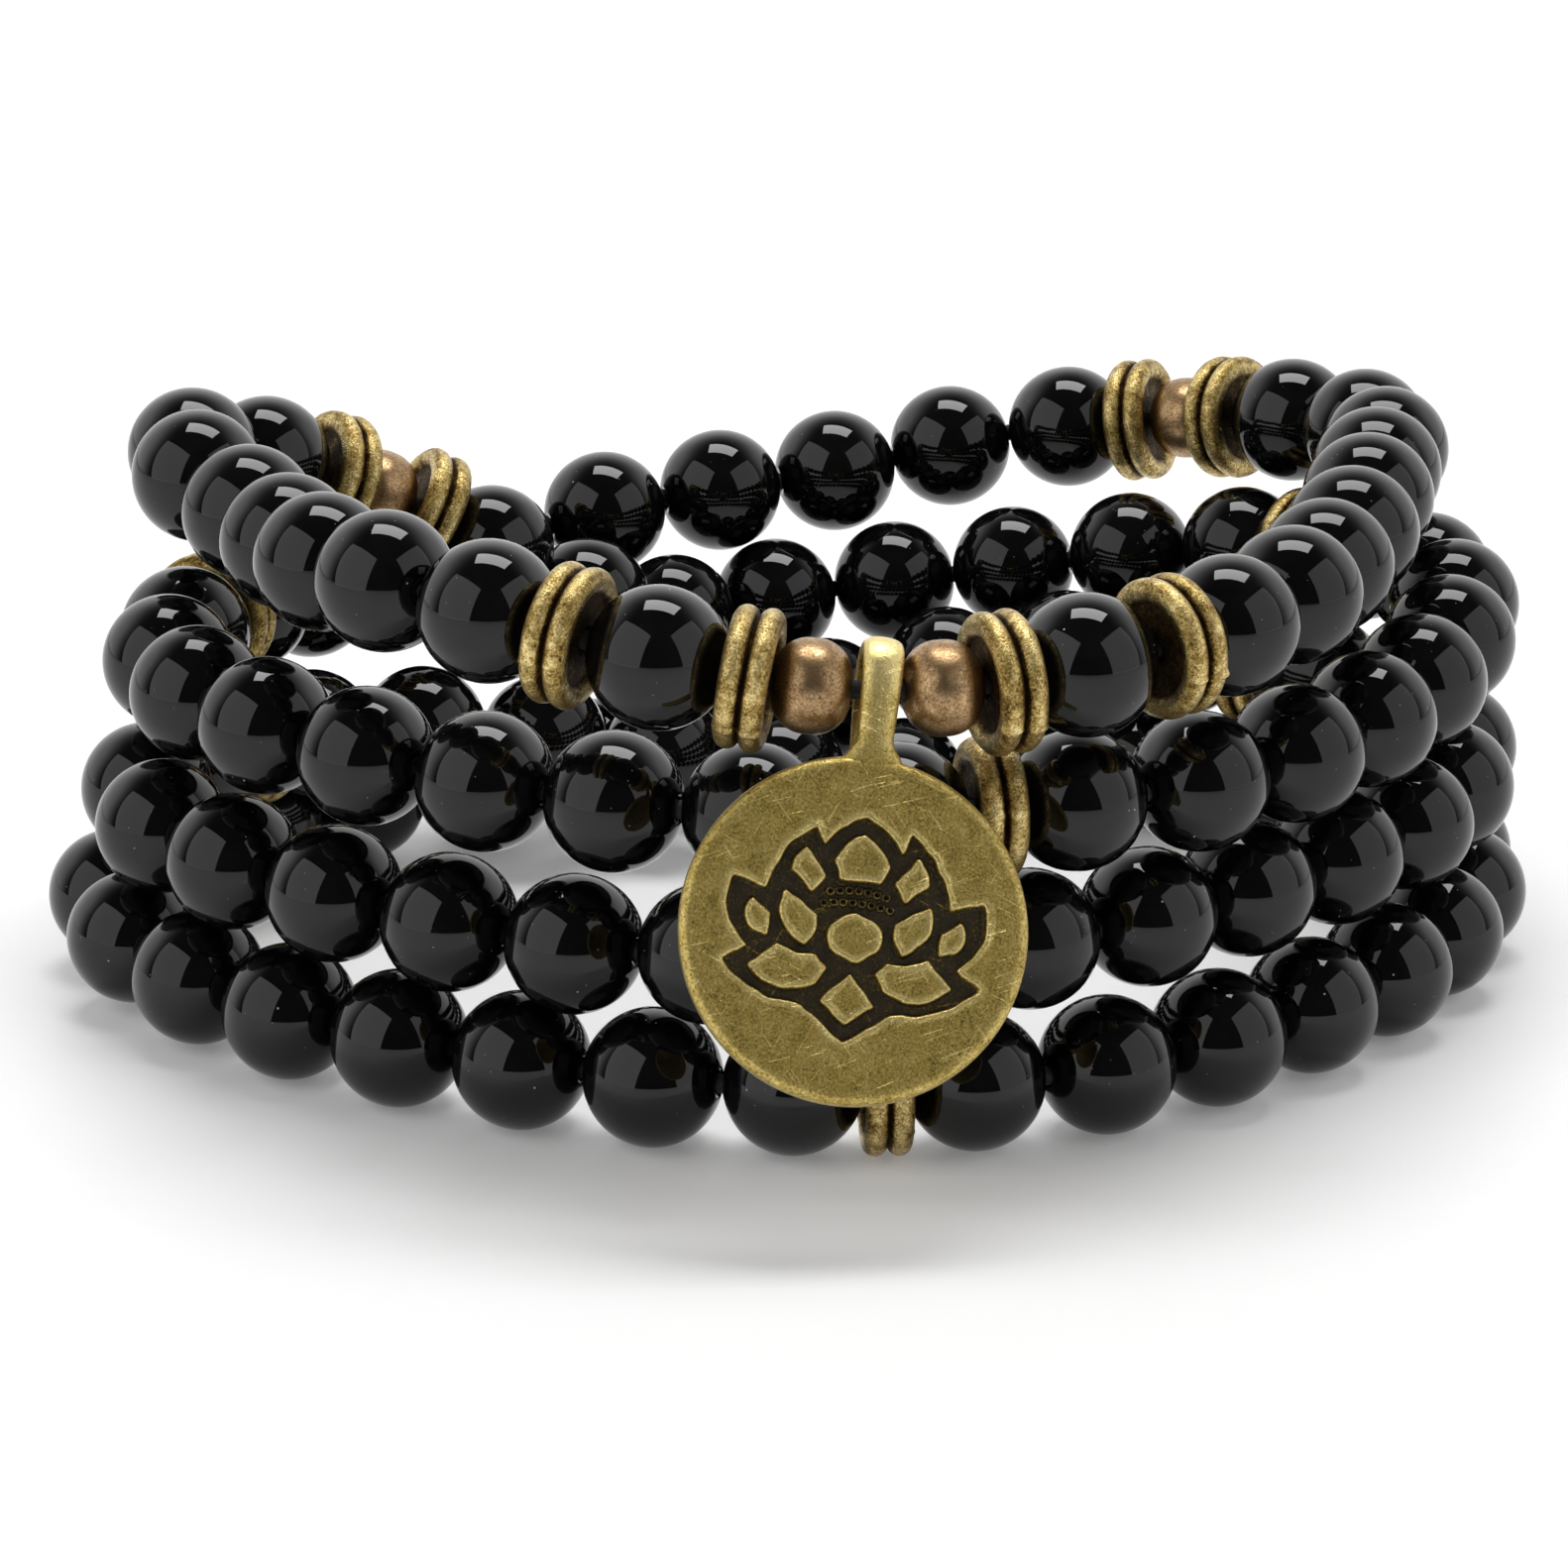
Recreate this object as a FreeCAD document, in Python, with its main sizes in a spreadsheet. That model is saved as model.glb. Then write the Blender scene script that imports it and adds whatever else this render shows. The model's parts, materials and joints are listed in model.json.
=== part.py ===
"""Mala prayer beads: two elastic strings of round beads, each wound twice into a stacked bracelet.

Everything is in millimetres, +Z up, resting on Z = 0, with the wrist opening along Z and the
charm at the front (-Y). The strings are laid out first, then each piece is put on them.
"""
import FreeCAD, Part
import math
import os

import Sketcher
from FreeCAD import Placement, Rotation, Vector

DIMENSIONS = [
    # alias, millimetres (degrees for the lean and the turn), meaning
    ("bead_diameter", 6.0, "round bead"),
    ("bore_diameter", 1.0, "string hole of beads and spacers"),
    ("spacer_diameter", 6.1, "outside of the double rim"),
    ("rim_radius", 0.55, "half-round section of each spacer rim"),
    ("rim_offset", 0.52, "rim centre from the spacer's middle"),
    ("spacer_web", 1.5, "dished middle of a spacer"),
    ("barrel_diameter", 4.0, "small metal bead"),
    ("barrel_length", 3.3, "small metal bead, along the string"),
    ("barrel_rounding", 1.4, "edge radius of the small metal bead"),
    ("elastic_diameter", 0.8, "elastic thread"),
    ("knot_diameter", 1.7, "knot pulled tight"),
    ("knot_length", 0.8, "knot, along the string"),
    ("knot_rounding", 0.25, "edge radius of the knot"),
    ("knot_bore", 1.9, "wider hole of the spacer that hides a knot"),
    ("disc_diameter", 14.2, "charm disc"),
    ("disc_thickness", 1.2, "charm disc"),
    ("disc_edge", 0.35, "rounded edge of the charm disc"),
    ("disc_drop", 2.95, "string centre to the edge of the disc"),
    ("disc_forward", 0.36, "string centre to the back of the disc"),
    ("recess_depth", 0.35, "sunk outline of the lotus"),
    ("loop_width", 1.7, "charm loop, along the string"),
    ("loop_depth", 3.2, "charm loop, front to back"),
    ("loop_band", 0.85, "metal of the charm loop"),
    ("loop_top", 2.2, "string centre to the top of the charm loop"),
    ("loop_bottom", 3.6, "string centre to the bottom of the charm loop"),
    ("charm_lean", 25.0, "resting charm, out from hanging straight down"),
    ("charm_turn", 6.5, "resting charm, clockwise on its string seen from the front"),
    ("bead_air", 0.04, "gap between two beads on the string"),
    ("metal_air", 0.14, "extra string beside a spacer or small metal bead"),
    ("loop_air", 0.25, "extra string beside the charm loop, which hangs a little askew"),
]

# The route of each string as it lies on the table, as points spread evenly along the string,
# turning left from the middle of its first piece at the front (-Y).
CHARM_ROUTE = [
    (2.5, -29, 21), (-9.5, -25, 23), (-19, -15, 23), (-23.5, -1.5, 22),
    (-24, 13.5, 20), (-12.5, 17.5, 13.5), (-1, 25, 10), (13.5, 24.5, 12),
    (26.5, 18, 14.5), (30.5, 4, 15.5), (26, -10.5, 15), (16.5, -21.5, 15),
    (2, -26, 15), (-12, -21.5, 15), (-24, -13, 15.5), (-28.5, 1, 15),
    (-22, 14.5, 14), (-10.5, 24.5, 14), (3.5, 29, 15.5), (18.5, 30.5, 18.5),
    (26.5, 20, 19.5), (26.5, 4.5, 21.5), (23.5, -9.5, 21.5), (15, -24.5, 22),
]
PLAIN_ROUTE = [
    (6, -26, 9), (-8.5, -23.5, 8.5), (-21.5, -15.5, 9), (-29, -3.5, 9),
    (-21.5, 9.5, 8), (-7.5, 15, 5.5), (7, 18.5, 3), (22.5, 17.5, 3),
    (30.5, 6, 3), (27.5, -8.5, 3), (17.5, -20, 3), (4, -26, 3),
    (-11, -22.5, 3), (-23.5, -14.5, 3), (-31, -1, 3.5), (-24.5, 11.5, 3),
    (-11, 19, 3), (3.5, 21.5, 6.5), (18.5, 18.5, 9), (29.5, 9, 9),
    (28.5, -6, 9), (19, -17.5, 9),
]
GROUP = 9              # beads between two spacers
LEFT_GROUP = 8         # the same on the way left from the charm and over the back
PLAIN_GROUPS = 6       # groups of beads on the plain string
SETTLING_ROUNDS = 500
FINAL_ROUNDS = 150     # rounds at the end that only make room
RENEWAL = 60           # rounds between two looks at which pieces are near each other
ROUTE_HOLD = 0.02      # how strongly a settling string keeps to its route
STIFFNESS = 0.13       # how strongly it straightens itself where two pieces meet
LENGTH_HOLD = 0.3      # how strongly each piece keeps its own length
SHORT_PIECE = 4.0      # pieces shorter than this stay in line with their neighbours
FLAT_BEND = math.radians(8)  # most that the string turns between two flat-ended pieces
NEIGHBOURHOOD = 10.0   # only pieces this near can touch while the strings settle
BEND_REACH = 0.6       # the elastic bends within this distance of where two pieces meet
BEND_SHARE = 0.22      # and within this share of the shorter of the two
BEND_DEPTH = 0.03      # most that a bend cuts inside the corner, which keeps it off the bore
VOLUME_TOLERANCE = 0.02
SAME_RADIUS = 1e-6
KNOTTED = ("right_turn_spacer", "lower_spacer_3")  # spacers with a knot inside

# Lotus on the charm, in shares of the disc's radius, right half only. Each step is the point
# that an arc passes through, or None for a straight line, and the point that it ends at.
LOTUS_START = (0.0, 0.66)
LOTUS_OUTLINE = [
    ((0.125, 0.58), (0.222, 0.475)), (None, (0.27, 0.58)),
    ((0.435, 0.42), (0.537, 0.188)), (None, (0.722, 0.234)),
    ((0.745, 0.03), (0.611, -0.16)), (None, (0.748, -0.25)),
    ((0.56, -0.4), (0.255, -0.47)), (None, (0.0, -0.656)),
]
MIDDLE_ISLANDS = [
    # raised petals on the middle line, from their top to their bottom
    ((0.0, 0.55), [((0.09, 0.48), (0.155, 0.373)), (None, (0.12, 0.28)), (None, (0.0, 0.28))]),
    ((0.0, 0.085), [((0.08, 0.06), (0.148, 0.0)), ((0.13, -0.12), (0.0, -0.185))]),
    ((0.0, -0.258), [(None, (0.152, -0.428)), (None, (0.0, -0.534))]),
]
SIDE_ISLANDS = [
    # raised petals that each side has
    ((0.326, 0.431), [((0.37, 0.37), (0.388, 0.3)), (None, (0.269, 0.196)), (None, (0.205, 0.28)),
                      (None, (0.326, 0.431))]),
    ((0.33, 0.12), [(None, (0.425, 0.172)), ((0.41, 0.0), (0.28, -0.115)),
                    ((0.235, -0.04), (0.227, 0.053)), (None, (0.33, 0.12))]),
    ((0.6, 0.1), [((0.63, 0.03), (0.567, -0.06)), (None, (0.5, -0.085)), (None, (0.5, 0.03)),
                  (None, (0.6, 0.1))]),
    ((0.2, -0.185), [(None, (0.318, -0.18)), (None, (0.44, -0.137)), (None, (0.595, -0.272)),
                     ((0.4, -0.375), (0.198, -0.329)), (None, (0.139, -0.237)),
                     (None, (0.2, -0.185))]),
]


# ------------------------------------------------------------------ string layout


class Sizes:
    """The driving dimensions, read back from the spreadsheet as plain numbers."""

    def __init__(self, sheet):
        for alias, _, _ in DIMENSIONS:
            setattr(self, alias, float(sheet.get(alias)))


def side_order(group):
    """Kinds of piece from the charm to one side, over the back and to the front middle."""
    guard = ["barrel", "spacer", "bead", "spacer"]
    marker = ["spacer", "barrel", "spacer"]
    return guard + ["bead"] * group + marker + ["bead"] * group + ["spacer"] + ["bead"] * GROUP


def charm_order():
    """Kinds of piece on the charm string, turning left from the charm."""
    return ["loop"] + side_order(LEFT_GROUP) + ["spacer"] + side_order(GROUP)[::-1]


def plain_order():
    """Kinds of piece on the plain string: a spacer before every group of beads."""
    return (["spacer"] + ["bead"] * GROUP) * PLAIN_GROUPS


def piece_length(kind, size):
    """String length that a piece takes up, with the air beside it."""
    return {
        "bead": size.bead_diameter + size.bead_air,
        "spacer": size.spacer_web + size.metal_air,
        "barrel": size.barrel_length + size.metal_air,
        "loop": size.loop_width + size.loop_air,
    }[kind]


def piece_radius(kind, size):
    """Radius that a piece keeps clear of pieces on other turns."""
    rim_middle = size.spacer_diameter / 2 - size.rim_radius
    return size.bead_air / 2 + {
        "bead": size.bead_diameter / 2,
        "spacer": math.hypot(rim_middle, size.rim_offset) + size.rim_radius,
        "barrel": size.barrel_diameter / 2,
        "loop": size.loop_depth / 2,
    }[kind]


def smooth_point(route, number, share):
    """Point at a share of the way from one route point to the next, on a smooth curve."""
    around = [route[(number + step) % len(route)] for step in (-1, 0, 1, 2)]
    before, start, end, after = [Vector(*point) for point in around]
    slope_in = (end - before) / 2
    slope_out = (after - start) / 2
    bend = (end - start) * 3 - slope_in * 2 - slope_out
    ease = slope_in + slope_out - (end - start) * 2
    return start + (slope_in + (bend + ease * share) * share) * share


def meeting_points(route, lengths):
    """Where the pieces of a closed string meet: each piece's start, spread along its route."""
    step = sum(lengths) / len(route)
    points = []
    travelled = -lengths[0] / 2
    for length in lengths:
        number, rest = divmod(travelled, step)
        points.append(smooth_point(route, int(number), rest / step))
        travelled += length
    return points


class Rod:
    """One piece on its string, as a straight rod between two meeting points."""

    def __init__(self, kind, start, end, size):
        self.kind = kind
        self.start = start
        self.end = end
        self.length = piece_length(kind, size)
        self.radius = piece_radius(kind, size)
        self.before = None
        self.after = None

    def middle(self):
        return [(a + b) / 2 for a, b in zip(self.start, self.end)]

    def shift(self, along, amount):
        for axis in range(3):
            self.start[axis] += along[axis] * amount
            self.end[axis] += along[axis] * amount


def direction(rod):
    """Unit vector along a rod."""
    return (Vector(*rod.end) - Vector(*rod.start)).normalize()


def make_rods(order, route, size):
    """The rods of one closed string, sharing their meeting points."""
    lengths = [piece_length(kind, size) for kind in order]
    nodes = [list(point) for point in meeting_points(route, lengths)]
    ends = nodes[1:] + nodes[:1]
    rods = [Rod(kind, start, end, size) for kind, start, end in zip(order, nodes, ends)]
    for number, rod in enumerate(rods):
        rod.before = rods[number - 1]
        rod.after = rods[(number + 1) % len(rods)]
    return rods


def on_one_stretch(one, other):
    """Whether two pieces are the same, next to each other, or next but one on a string."""
    return other in (one, one.after, one.before, one.after.after, one.before.before)


def near_pairs(rods):
    """Pairs of pieces on different stretches that are close enough to touch."""
    pairs = []
    for number, one in enumerate(rods):
        for other in rods[number + 1:]:
            if math.dist(one.middle(), other.middle()) < NEIGHBOURHOOD and not on_one_stretch(one, other):
                pairs.append((one, other))
    return pairs


def push_apart(one, other, clear):
    """Move two rods so that their middles are at least the given distance apart."""
    here, there = one.middle(), other.middle()
    apart = math.dist(here, there)
    if apart < clear:
        along = [(b - a) / apart for a, b in zip(here, there)]
        one.shift(along, (apart - clear) / 2)
        other.shift(along, (clear - apart) / 2)


def keep_beside(rod):
    """Keep the next piece at its distance, measured along the flatter of the two if one is flat."""
    near = [b - a for a, b in zip(rod.middle(), rod.after.middle())]
    flat = min((rod, rod.after), key=lambda one: one.length)
    if flat.kind == "bead":
        along = near
    else:
        along = [b - a for a, b in zip(flat.start, flat.end)]
    reach = math.hypot(*along)
    along = [part / reach for part in along]
    apart = sum(a * b for a, b in zip(near, along))
    missing = (rod.length + rod.after.length) / 2 - apart
    rod.shift(along, -missing / 2)
    rod.after.shift(along, missing / 2)


def line_up(rod):
    """Turn a short rod to lie along the line between the far ends of its neighbours."""
    across = [b - a for a, b in zip(rod.before.start, rod.after.end)]
    reach = rod.length / 2 / math.hypot(*across)
    middle = rod.middle()
    for axis in range(3):
        rod.start[axis] = middle[axis] - across[axis] * reach
        rod.end[axis] = middle[axis] + across[axis] * reach


def straighten(rod):
    """Limit the bend between a flat piece and the next one if that is flat too."""
    turn = direction(rod).getAngle(direction(rod.after))
    if rod.after.length < SHORT_PIECE and turn > FLAT_BEND:
        share = rod.length / (rod.length + rod.after.length)
        for axis in range(3):
            line = rod.start[axis] + (rod.after.end[axis] - rod.start[axis]) * share
            rod.end[axis] += (line - rod.end[axis]) * (1 - FLAT_BEND / turn)


def pull_straight(rod, share):
    """Pull a meeting point towards the line between the middles of the rods beside it."""
    before, after = rod.before.middle(), rod.middle()
    for axis in range(3):
        rod.start[axis] += ((before[axis] + after[axis]) / 2 - rod.start[axis]) * share


def keep_length(rod, share):
    """Bring a rod back towards its own length."""
    apart = math.dist(rod.start, rod.end)
    for axis in range(3):
        step = (rod.end[axis] - rod.start[axis]) * (apart - rod.length) / apart / 2 * share
        rod.start[axis] += step
        rod.end[axis] -= step


def make_room(rods, pairs):
    """Give every piece its room: from other stretches, from the floor and along its string."""
    for rod in rods:
        if rod.length < SHORT_PIECE:
            line_up(rod)
    for rod in rods:
        if rod.length < SHORT_PIECE:
            straighten(rod)
    for one, other in pairs:
        push_apart(one, other, one.radius + other.radius)
    for rod in rods:
        sunk = rod.radius - rod.middle()[2]
        rod.shift((0, 0, 1), max(0, sunk))
        keep_beside(rod)


def settle(rods):
    """Let both strings find a shape in which every piece has its room and stands on the floor."""
    guides = [list(rod.start) for rod in rods]
    for turn in range(SETTLING_ROUNDS):
        if turn % RENEWAL == 0:
            pairs = near_pairs(rods)
        for rod, guide in zip(rods, guides):
            for axis in range(3):
                rod.start[axis] += (guide[axis] - rod.start[axis]) * ROUTE_HOLD
        for rod in rods:
            pull_straight(rod, STIFFNESS)
            keep_length(rod, LENGTH_HOLD)
        make_room(rods, pairs)
    for _ in range(FINAL_ROUNDS):
        make_room(rods, pairs)


# ------------------------------------------------------------------ pattern pieces


def new_body(doc, name):
    """An empty body, the pattern for every piece of one kind."""
    body = doc.addObject("PartDesign::Body", name)
    doc.recompute()
    return body


def new_sketch(body, role, name):
    """An empty sketch on one of the body's own origin planes."""
    sketch = body.newObject("Sketcher::SketchObject", name)
    plane = next(one for one in body.Origin.OriginFeatures if one.Role == role)
    sketch.AttachmentSupport = [(plane, "")]
    sketch.MapMode = "FlatFace"
    return sketch


def add_circle(sketch, expression, diameter):
    """A circle about the sketch's origin, its diameter bound to the spreadsheet."""
    outline = Part.Circle(Vector(0, 0, 0), Vector(0, 0, 1), diameter / 2)
    circle = sketch.addGeometry(outline, False)
    sketch.addConstraint(Sketcher.Constraint("Coincident", circle, 3, -1, 1))
    bound = sketch.addConstraint(Sketcher.Constraint("Diameter", circle, diameter))
    sketch.setExpression("Constraints[%d]" % bound, expression)


def add_pad(body, sketch, name, expression, midplane):
    """A pad of a sketch, its length bound to the spreadsheet."""
    pad = body.newObject("PartDesign::Pad", name)
    pad.Profile = sketch
    pad.Midplane = midplane
    pad.setExpression("Length", expression)
    return pad


def round_edges(body, base, name, expression, edges):
    """A fillet on the named edges of the body so far."""
    fillet = body.newObject("PartDesign::Fillet", name)
    fillet.Base = (base, edges)
    fillet.setExpression("Radius", expression)
    return fillet


def round_edge_names(shape, radius):
    """Names of a shape's circular edges of the given radius."""
    names = []
    for number, edge in enumerate(shape.Edges, start=1):
        if abs(getattr(edge.Curve, "Radius", 0) - radius) < SAME_RADIUS:
            names.append("Edge%d" % number)
    return names


def make_bead(doc, size):
    """Round bead: the area between its round side and its string hole, turned about the hole."""
    body = new_body(doc, "bead_pattern")
    sketch = new_sketch(body, "XZ_Plane", "bead_section")
    radius = size.bead_diameter / 2
    hole = size.bore_diameter / 2
    half_hole = math.sqrt(radius**2 - hole**2)
    half_turn = math.atan2(half_hole, hole)
    ball = Part.Circle(Vector(0, 0, 0), Vector(0, 0, 1), radius)
    side = sketch.addGeometry(Part.ArcOfCircle(ball, -half_turn, half_turn), False)
    string_hole = Part.LineSegment(Vector(hole, half_hole, 0), Vector(hole, -half_hole, 0))
    wall = sketch.addGeometry(string_hole, False)
    sketch.addConstraint(Sketcher.Constraint("Coincident", side, 3, -1, 1))
    sketch.addConstraint(Sketcher.Constraint("Coincident", wall, 1, side, 2))
    sketch.addConstraint(Sketcher.Constraint("Coincident", wall, 2, side, 1))
    sketch.addConstraint(Sketcher.Constraint("Vertical", wall))
    bound = sketch.addConstraint(Sketcher.Constraint("Radius", side, radius))
    sketch.setExpression("Constraints[%d]" % bound, "dimensions.bead_diameter / 2")
    bound = sketch.addConstraint(Sketcher.Constraint("DistanceX", -1, 1, wall, 1, hole))
    sketch.setExpression("Constraints[%d]" % bound, "dimensions.bore_diameter / 2")
    ring = body.newObject("PartDesign::Revolution", "bead_round")
    ring.Profile = sketch
    ring.ReferenceAxis = (sketch, ["V_Axis"])
    ring.Angle = 360
    return body


def make_spacer(doc, name, bore):
    """Double-rimmed spacer: two round rims on a thinner dished web, with a string hole."""
    rims = []
    for end, sign in (("low", "-"), ("high", "")):
        rim = doc.addObject("Part::Torus", "%s_%s_rim" % (name, end))
        rim.setExpression("Radius1", "dimensions.spacer_diameter / 2 - dimensions.rim_radius")
        rim.setExpression("Radius2", "dimensions.rim_radius")
        rim.setExpression("Placement.Base.z", sign + "dimensions.rim_offset")
        rims.append(rim)
    web = doc.addObject("Part::Cylinder", name + "_web")
    web.setExpression("Radius", "dimensions.spacer_diameter / 2 - dimensions.rim_radius")
    web.setExpression("Height", "dimensions.spacer_web")
    web.setExpression("Placement.Base.z", "-dimensions.spacer_web / 2")
    blank = doc.addObject("Part::MultiFuse", name + "_blank")
    blank.Shapes = rims + [web]
    hole = doc.addObject("Part::Cylinder", name + "_hole")
    hole.setExpression("Radius", bore + " / 2")
    hole.setExpression("Height", "dimensions.spacer_diameter")
    hole.setExpression("Placement.Base.z", "-dimensions.spacer_diameter / 2")
    spacer = doc.addObject("Part::Cut", name)
    spacer.Base = blank
    spacer.Tool = hole
    return spacer


def make_barrel(doc, size):
    """Small metal bead: a drum with well-rounded edges and a string hole."""
    body = new_body(doc, "barrel_pattern")
    sketch = new_sketch(body, "XY_Plane", "barrel_section")
    add_circle(sketch, "dimensions.barrel_diameter", size.barrel_diameter)
    add_circle(sketch, "dimensions.bore_diameter", size.bore_diameter)
    pad = add_pad(body, sketch, "barrel_drum", "dimensions.barrel_length", midplane=True)
    doc.recompute()
    edges = round_edge_names(pad.Shape, size.barrel_diameter / 2)
    round_edges(body, pad, "barrel_edges", "dimensions.barrel_rounding", edges)
    return body


def add_path(sketch, start, steps, scale, middle, mirror):
    """Lines and arcs through the lotus points, scaled and set about the disc's middle."""

    def place(point):
        return Vector(point[0] * scale * mirror, middle + point[1] * scale, 0)

    here = start
    for through, there in steps:
        if through is None:
            sketch.addGeometry(Part.LineSegment(place(here), place(there)), False)
        else:
            sketch.addGeometry(Part.Arc(place(here), place(through), place(there)), False)
        here = there


def draw_lotus(sketch, scale, middle):
    """The sunk outline with its raised petals left standing."""
    for mirror in (1, -1):
        add_path(sketch, LOTUS_START, LOTUS_OUTLINE, scale, middle, mirror)
        for start, steps in MIDDLE_ISLANDS + SIDE_ISLANDS:
            add_path(sketch, start, steps, scale, middle, mirror)


def add_slot_outline(sketch, half_depth, top, bottom):
    """A closed outline with straight sides and round ends, in the loop's side view."""
    high = top - half_depth
    low = half_depth - bottom
    corners = [Vector(half_depth, low, 0), Vector(half_depth, high, 0),
               Vector(-half_depth, high, 0), Vector(-half_depth, low, 0)]
    sketch.addGeometry(Part.LineSegment(corners[0], corners[1]), False)
    sketch.addGeometry(Part.Arc(corners[1], Vector(0, top, 0), corners[2]), False)
    sketch.addGeometry(Part.LineSegment(corners[2], corners[3]), False)
    sketch.addGeometry(Part.Arc(corners[3], Vector(0, -bottom, 0), corners[0]), False)


def make_charm(doc, size):
    """Disc with a sunk lotus and an oblong loop; the string runs along X through the origin."""
    body = new_body(doc, "charm_pattern")
    middle = -size.disc_drop - size.disc_diameter / 2
    face = new_sketch(body, "XZ_Plane", "disc_outline")
    outline = Part.Circle(Vector(0, middle, 0), Vector(0, 0, 1), size.disc_diameter / 2)
    circle = face.addGeometry(outline, False)
    bound = face.addConstraint(Sketcher.Constraint("Diameter", circle, size.disc_diameter))
    face.setExpression("Constraints[%d]" % bound, "dimensions.disc_diameter")
    face.addConstraint(Sketcher.Constraint("PointOnObject", circle, 3, -2))
    bound = face.addConstraint(Sketcher.Constraint("DistanceY", circle, 3, -1, 1, -middle))
    face.setExpression("Constraints[%d]" % bound, "dimensions.disc_drop + dimensions.disc_diameter / 2")
    face.setExpression("AttachmentOffset.Base.z", "dimensions.disc_forward")
    disc = add_pad(body, face, "disc", "dimensions.disc_thickness", midplane=False)
    doc.recompute()
    edges = round_edge_names(disc.Shape, size.disc_diameter / 2)
    round_edges(body, disc, "disc_edges", "dimensions.disc_edge", edges)

    side = new_sketch(body, "YZ_Plane", "loop_side")
    add_slot_outline(side, size.loop_depth / 2, size.loop_top, size.loop_bottom)
    add_slot_outline(side, size.loop_depth / 2 - size.loop_band, size.loop_top - size.loop_band,
                     size.loop_bottom - size.loop_band)
    add_pad(body, side, "loop", "dimensions.loop_width", midplane=True)
    doc.recompute()
    whole = body.Shape.Volume

    lotus = new_sketch(body, "XZ_Plane", "lotus_outline")
    draw_lotus(lotus, size.disc_diameter / 2, middle)
    lotus.setExpression("AttachmentOffset.Base.z", "dimensions.disc_forward + dimensions.disc_thickness")
    recess = body.newObject("PartDesign::Pocket", "lotus_recess")
    recess.Profile = lotus
    recess.setExpression("Length", "dimensions.recess_depth")
    doc.recompute()
    if body.Shape.Volume >= whole:
        raise RuntimeError("the lotus recess cut nothing")
    return body


def make_knot(doc, name):
    """Knot in an elastic, pulled tight into a short rounded plug."""
    core = doc.addObject("Part::Cylinder", name + "_core")
    core.setExpression("Radius", "dimensions.knot_diameter / 2")
    core.setExpression("Height", "dimensions.knot_length")
    core.setExpression("Placement.Base.z", "-dimensions.knot_length / 2")
    doc.recompute()
    knot = doc.addObject("Part::Fillet", name)
    knot.Base = core
    rounding = doc.dimensions.knot_rounding
    edges = round_edge_names(core.Shape, core.Radius.Value)
    knot.Edges = [(int(edge[4:]), rounding, rounding) for edge in edges]
    return knot


# ------------------------------------------------------------------ elastic


def string_from(first):
    """All the rods of a closed string, in order from the given one."""
    rods = [first]
    while rods[-1].after is not first:
        rods.append(rods[-1].after)
    return rods


def bend_at(rod):
    """The rounded corner where a rod meets the one before it: its two ends and its middle."""
    corner = Vector(*rod.start)
    before, after = direction(rod.before), direction(rod)
    half_turn = before.getAngle(after) / 2
    shorter = min(rod.before.length, rod.length)
    reach = min(BEND_REACH, BEND_SHARE * shorter, BEND_DEPTH / math.tan(half_turn / 2))
    depth = reach * math.tan(half_turn / 2)
    inward = (after - before).normalize()
    return corner - before * reach, corner + inward * depth, corner + after * reach


def elastic_path(knotted, size):
    """Centre line of an elastic: straight through each piece, and bent where two pieces meet."""
    middle = Vector(*knotted.middle())
    lead = direction(knotted) * (size.knot_length / 2)
    here = middle + lead
    edges = []
    for rod in string_from(knotted)[1:] + [knotted]:
        into, through, out = bend_at(rod)
        edges.append(Part.LineSegment(here, into).toShape())
        edges.append(Part.Arc(into, through, out).toShape())
        here = out
    edges.append(Part.LineSegment(here, middle - lead).toShape())
    return Part.Wire(edges)


def make_elastic(doc, name, knotted, size):
    """Elastic from one side of its knot, through every piece, to the knot's other side."""
    path = elastic_path(knotted, size)
    start = path.OrderedVertexes[0].Point
    circle = Part.Circle(start, direction(knotted), size.elastic_diameter / 2)
    section = Part.Wire(circle.toShape())
    elastic = doc.addObject("Part::Feature", name)
    elastic.Shape = path.makePipeShell([section], True, False)
    expected = path.Length * math.pi * (size.elastic_diameter / 2) ** 2
    if abs(elastic.Shape.Volume / expected - 1) > VOLUME_TOLERANCE:
        raise RuntimeError("%s has the wrong volume" % name)
    print(name, "is", round(path.Length, 1), "mm long")
    return elastic


# ------------------------------------------------------------------ assembly


def side_names(side, group, back, far_side):
    """Names of the pieces from the charm to one side, over the back and to the front middle."""
    guard = ["charm_barrel", "guard_spacer_1", "guard_bead", "guard_spacer_2"]
    marker = ["marker_spacer_1", "marker_barrel", "marker_spacer_2"]
    beads = ["bead_%d" % (number + 1) for number in range(group)]
    names = ["%s_%s" % (side, piece) for piece in guard + beads + marker]
    names += [back + "_back_beads"] * group + [far_side + "_turn_spacer"]
    return names + ["middle_%s_beads" % far_side] * GROUP


def charm_names():
    """Names of the pieces on the charm string; beads that share a name are one group."""
    left = side_names("left", LEFT_GROUP, "inner", "right")
    right = side_names("right", GROUP, "outer", "left")
    return ["lotus_charm"] + left + ["middle_front_spacer"] + right[::-1]


def plain_names():
    """Names of the pieces on the plain string; beads that share a name are one group."""
    names = []
    for number in range(1, PLAIN_GROUPS + 1):
        names += ["lower_spacer_%d" % number] + ["lower_beads_%d" % number] * GROUP
    return names


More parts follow.
